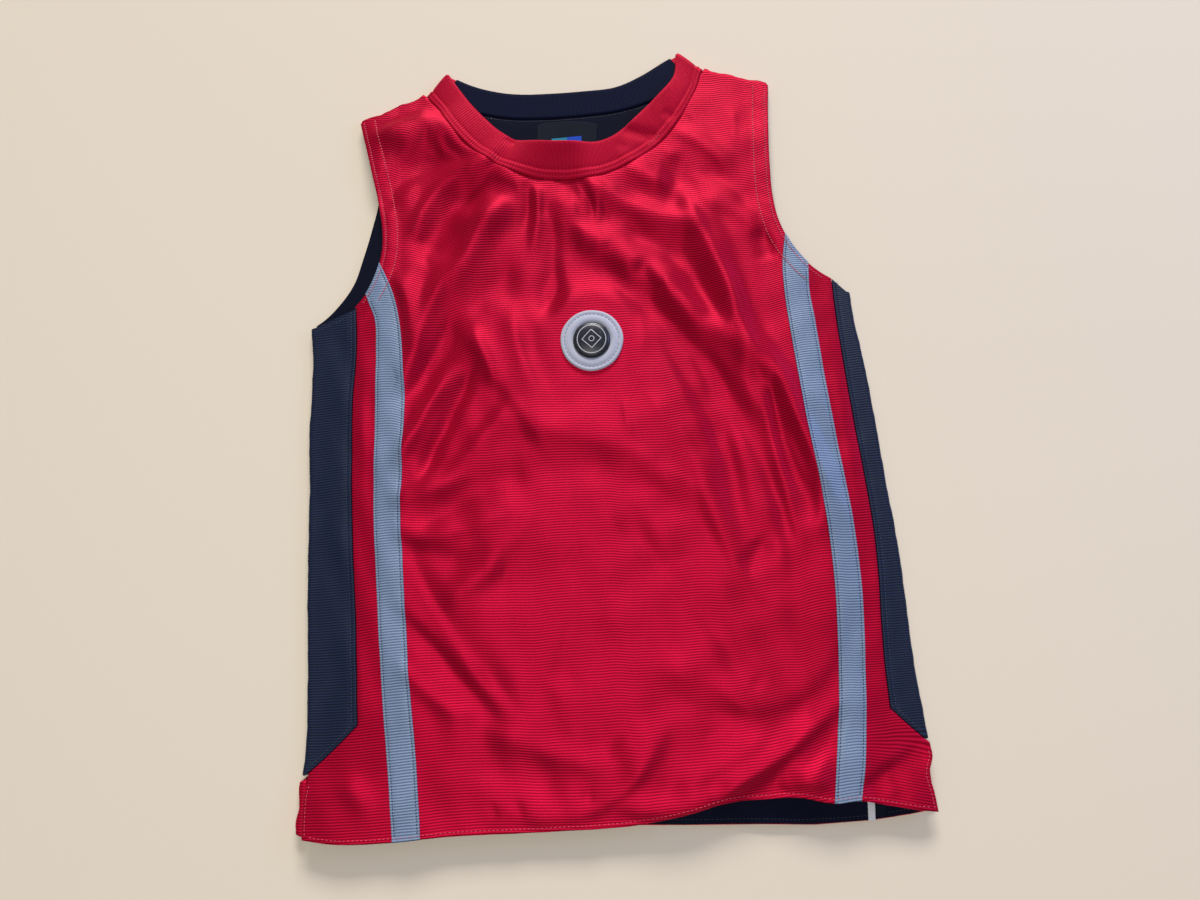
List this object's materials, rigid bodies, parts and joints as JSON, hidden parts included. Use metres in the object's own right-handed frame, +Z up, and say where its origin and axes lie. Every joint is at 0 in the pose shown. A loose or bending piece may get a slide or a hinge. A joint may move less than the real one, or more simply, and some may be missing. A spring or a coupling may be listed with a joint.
{
  "type": "child's lined sleeveless sports jersey, laid flat",
  "caption": "Child's sleeveless jersey laid flat: ribbed satin front with applied side stripes, round patch, side panels, rib neckband and dark lining.",
  "frame": {"origin": "middle of the footprint, on the surface that the garment lies on", "axes": "+Y from the hem to the neck along the garment's middle, +X to the right of someone who looks down on its front, +Z up through the front"},
  "size_m": [0.3498, 0.4611, 0.0152],
  "materials": {
    "red_satin": "polyester satin with a fine horizontal rib and a soft broad sheen",
    "red_rib": "matt rib knit",
    "black_lining": "matt knitted mesh",
    "black_rib": "matt rib knit",
    "navy_cloth": "polyester with a fine horizontal rib",
    "grey_ribbon": "woven ribbon with a fine horizontal rib, stitched down both edges",
    "patch_pale": "brushed felt-like patch with a stitched edge",
    "patch_dark": "moulded satin rubber",
    "label_dark": "woven label, plain",
    "label_white": "plain white tape"
  },
  "bodies": {
    "root": {"front_panel": "red_satin", "back_panel": "red_satin", "back_lining": "black_lining", "side_panel_left": "navy_cloth", "side_panel_right": "navy_cloth", "stripe_left": "grey_ribbon", "stripe_right": "grey_ribbon", "neckband": "red_rib", "neckband_inner": "black_rib", "patch": "patch_pale", "patch_dome": "patch_dark", "neck_label": "label_dark", "care_tag": "label_white", "care_tag_leaf": "label_dark"}
  },
  "joints": []
}
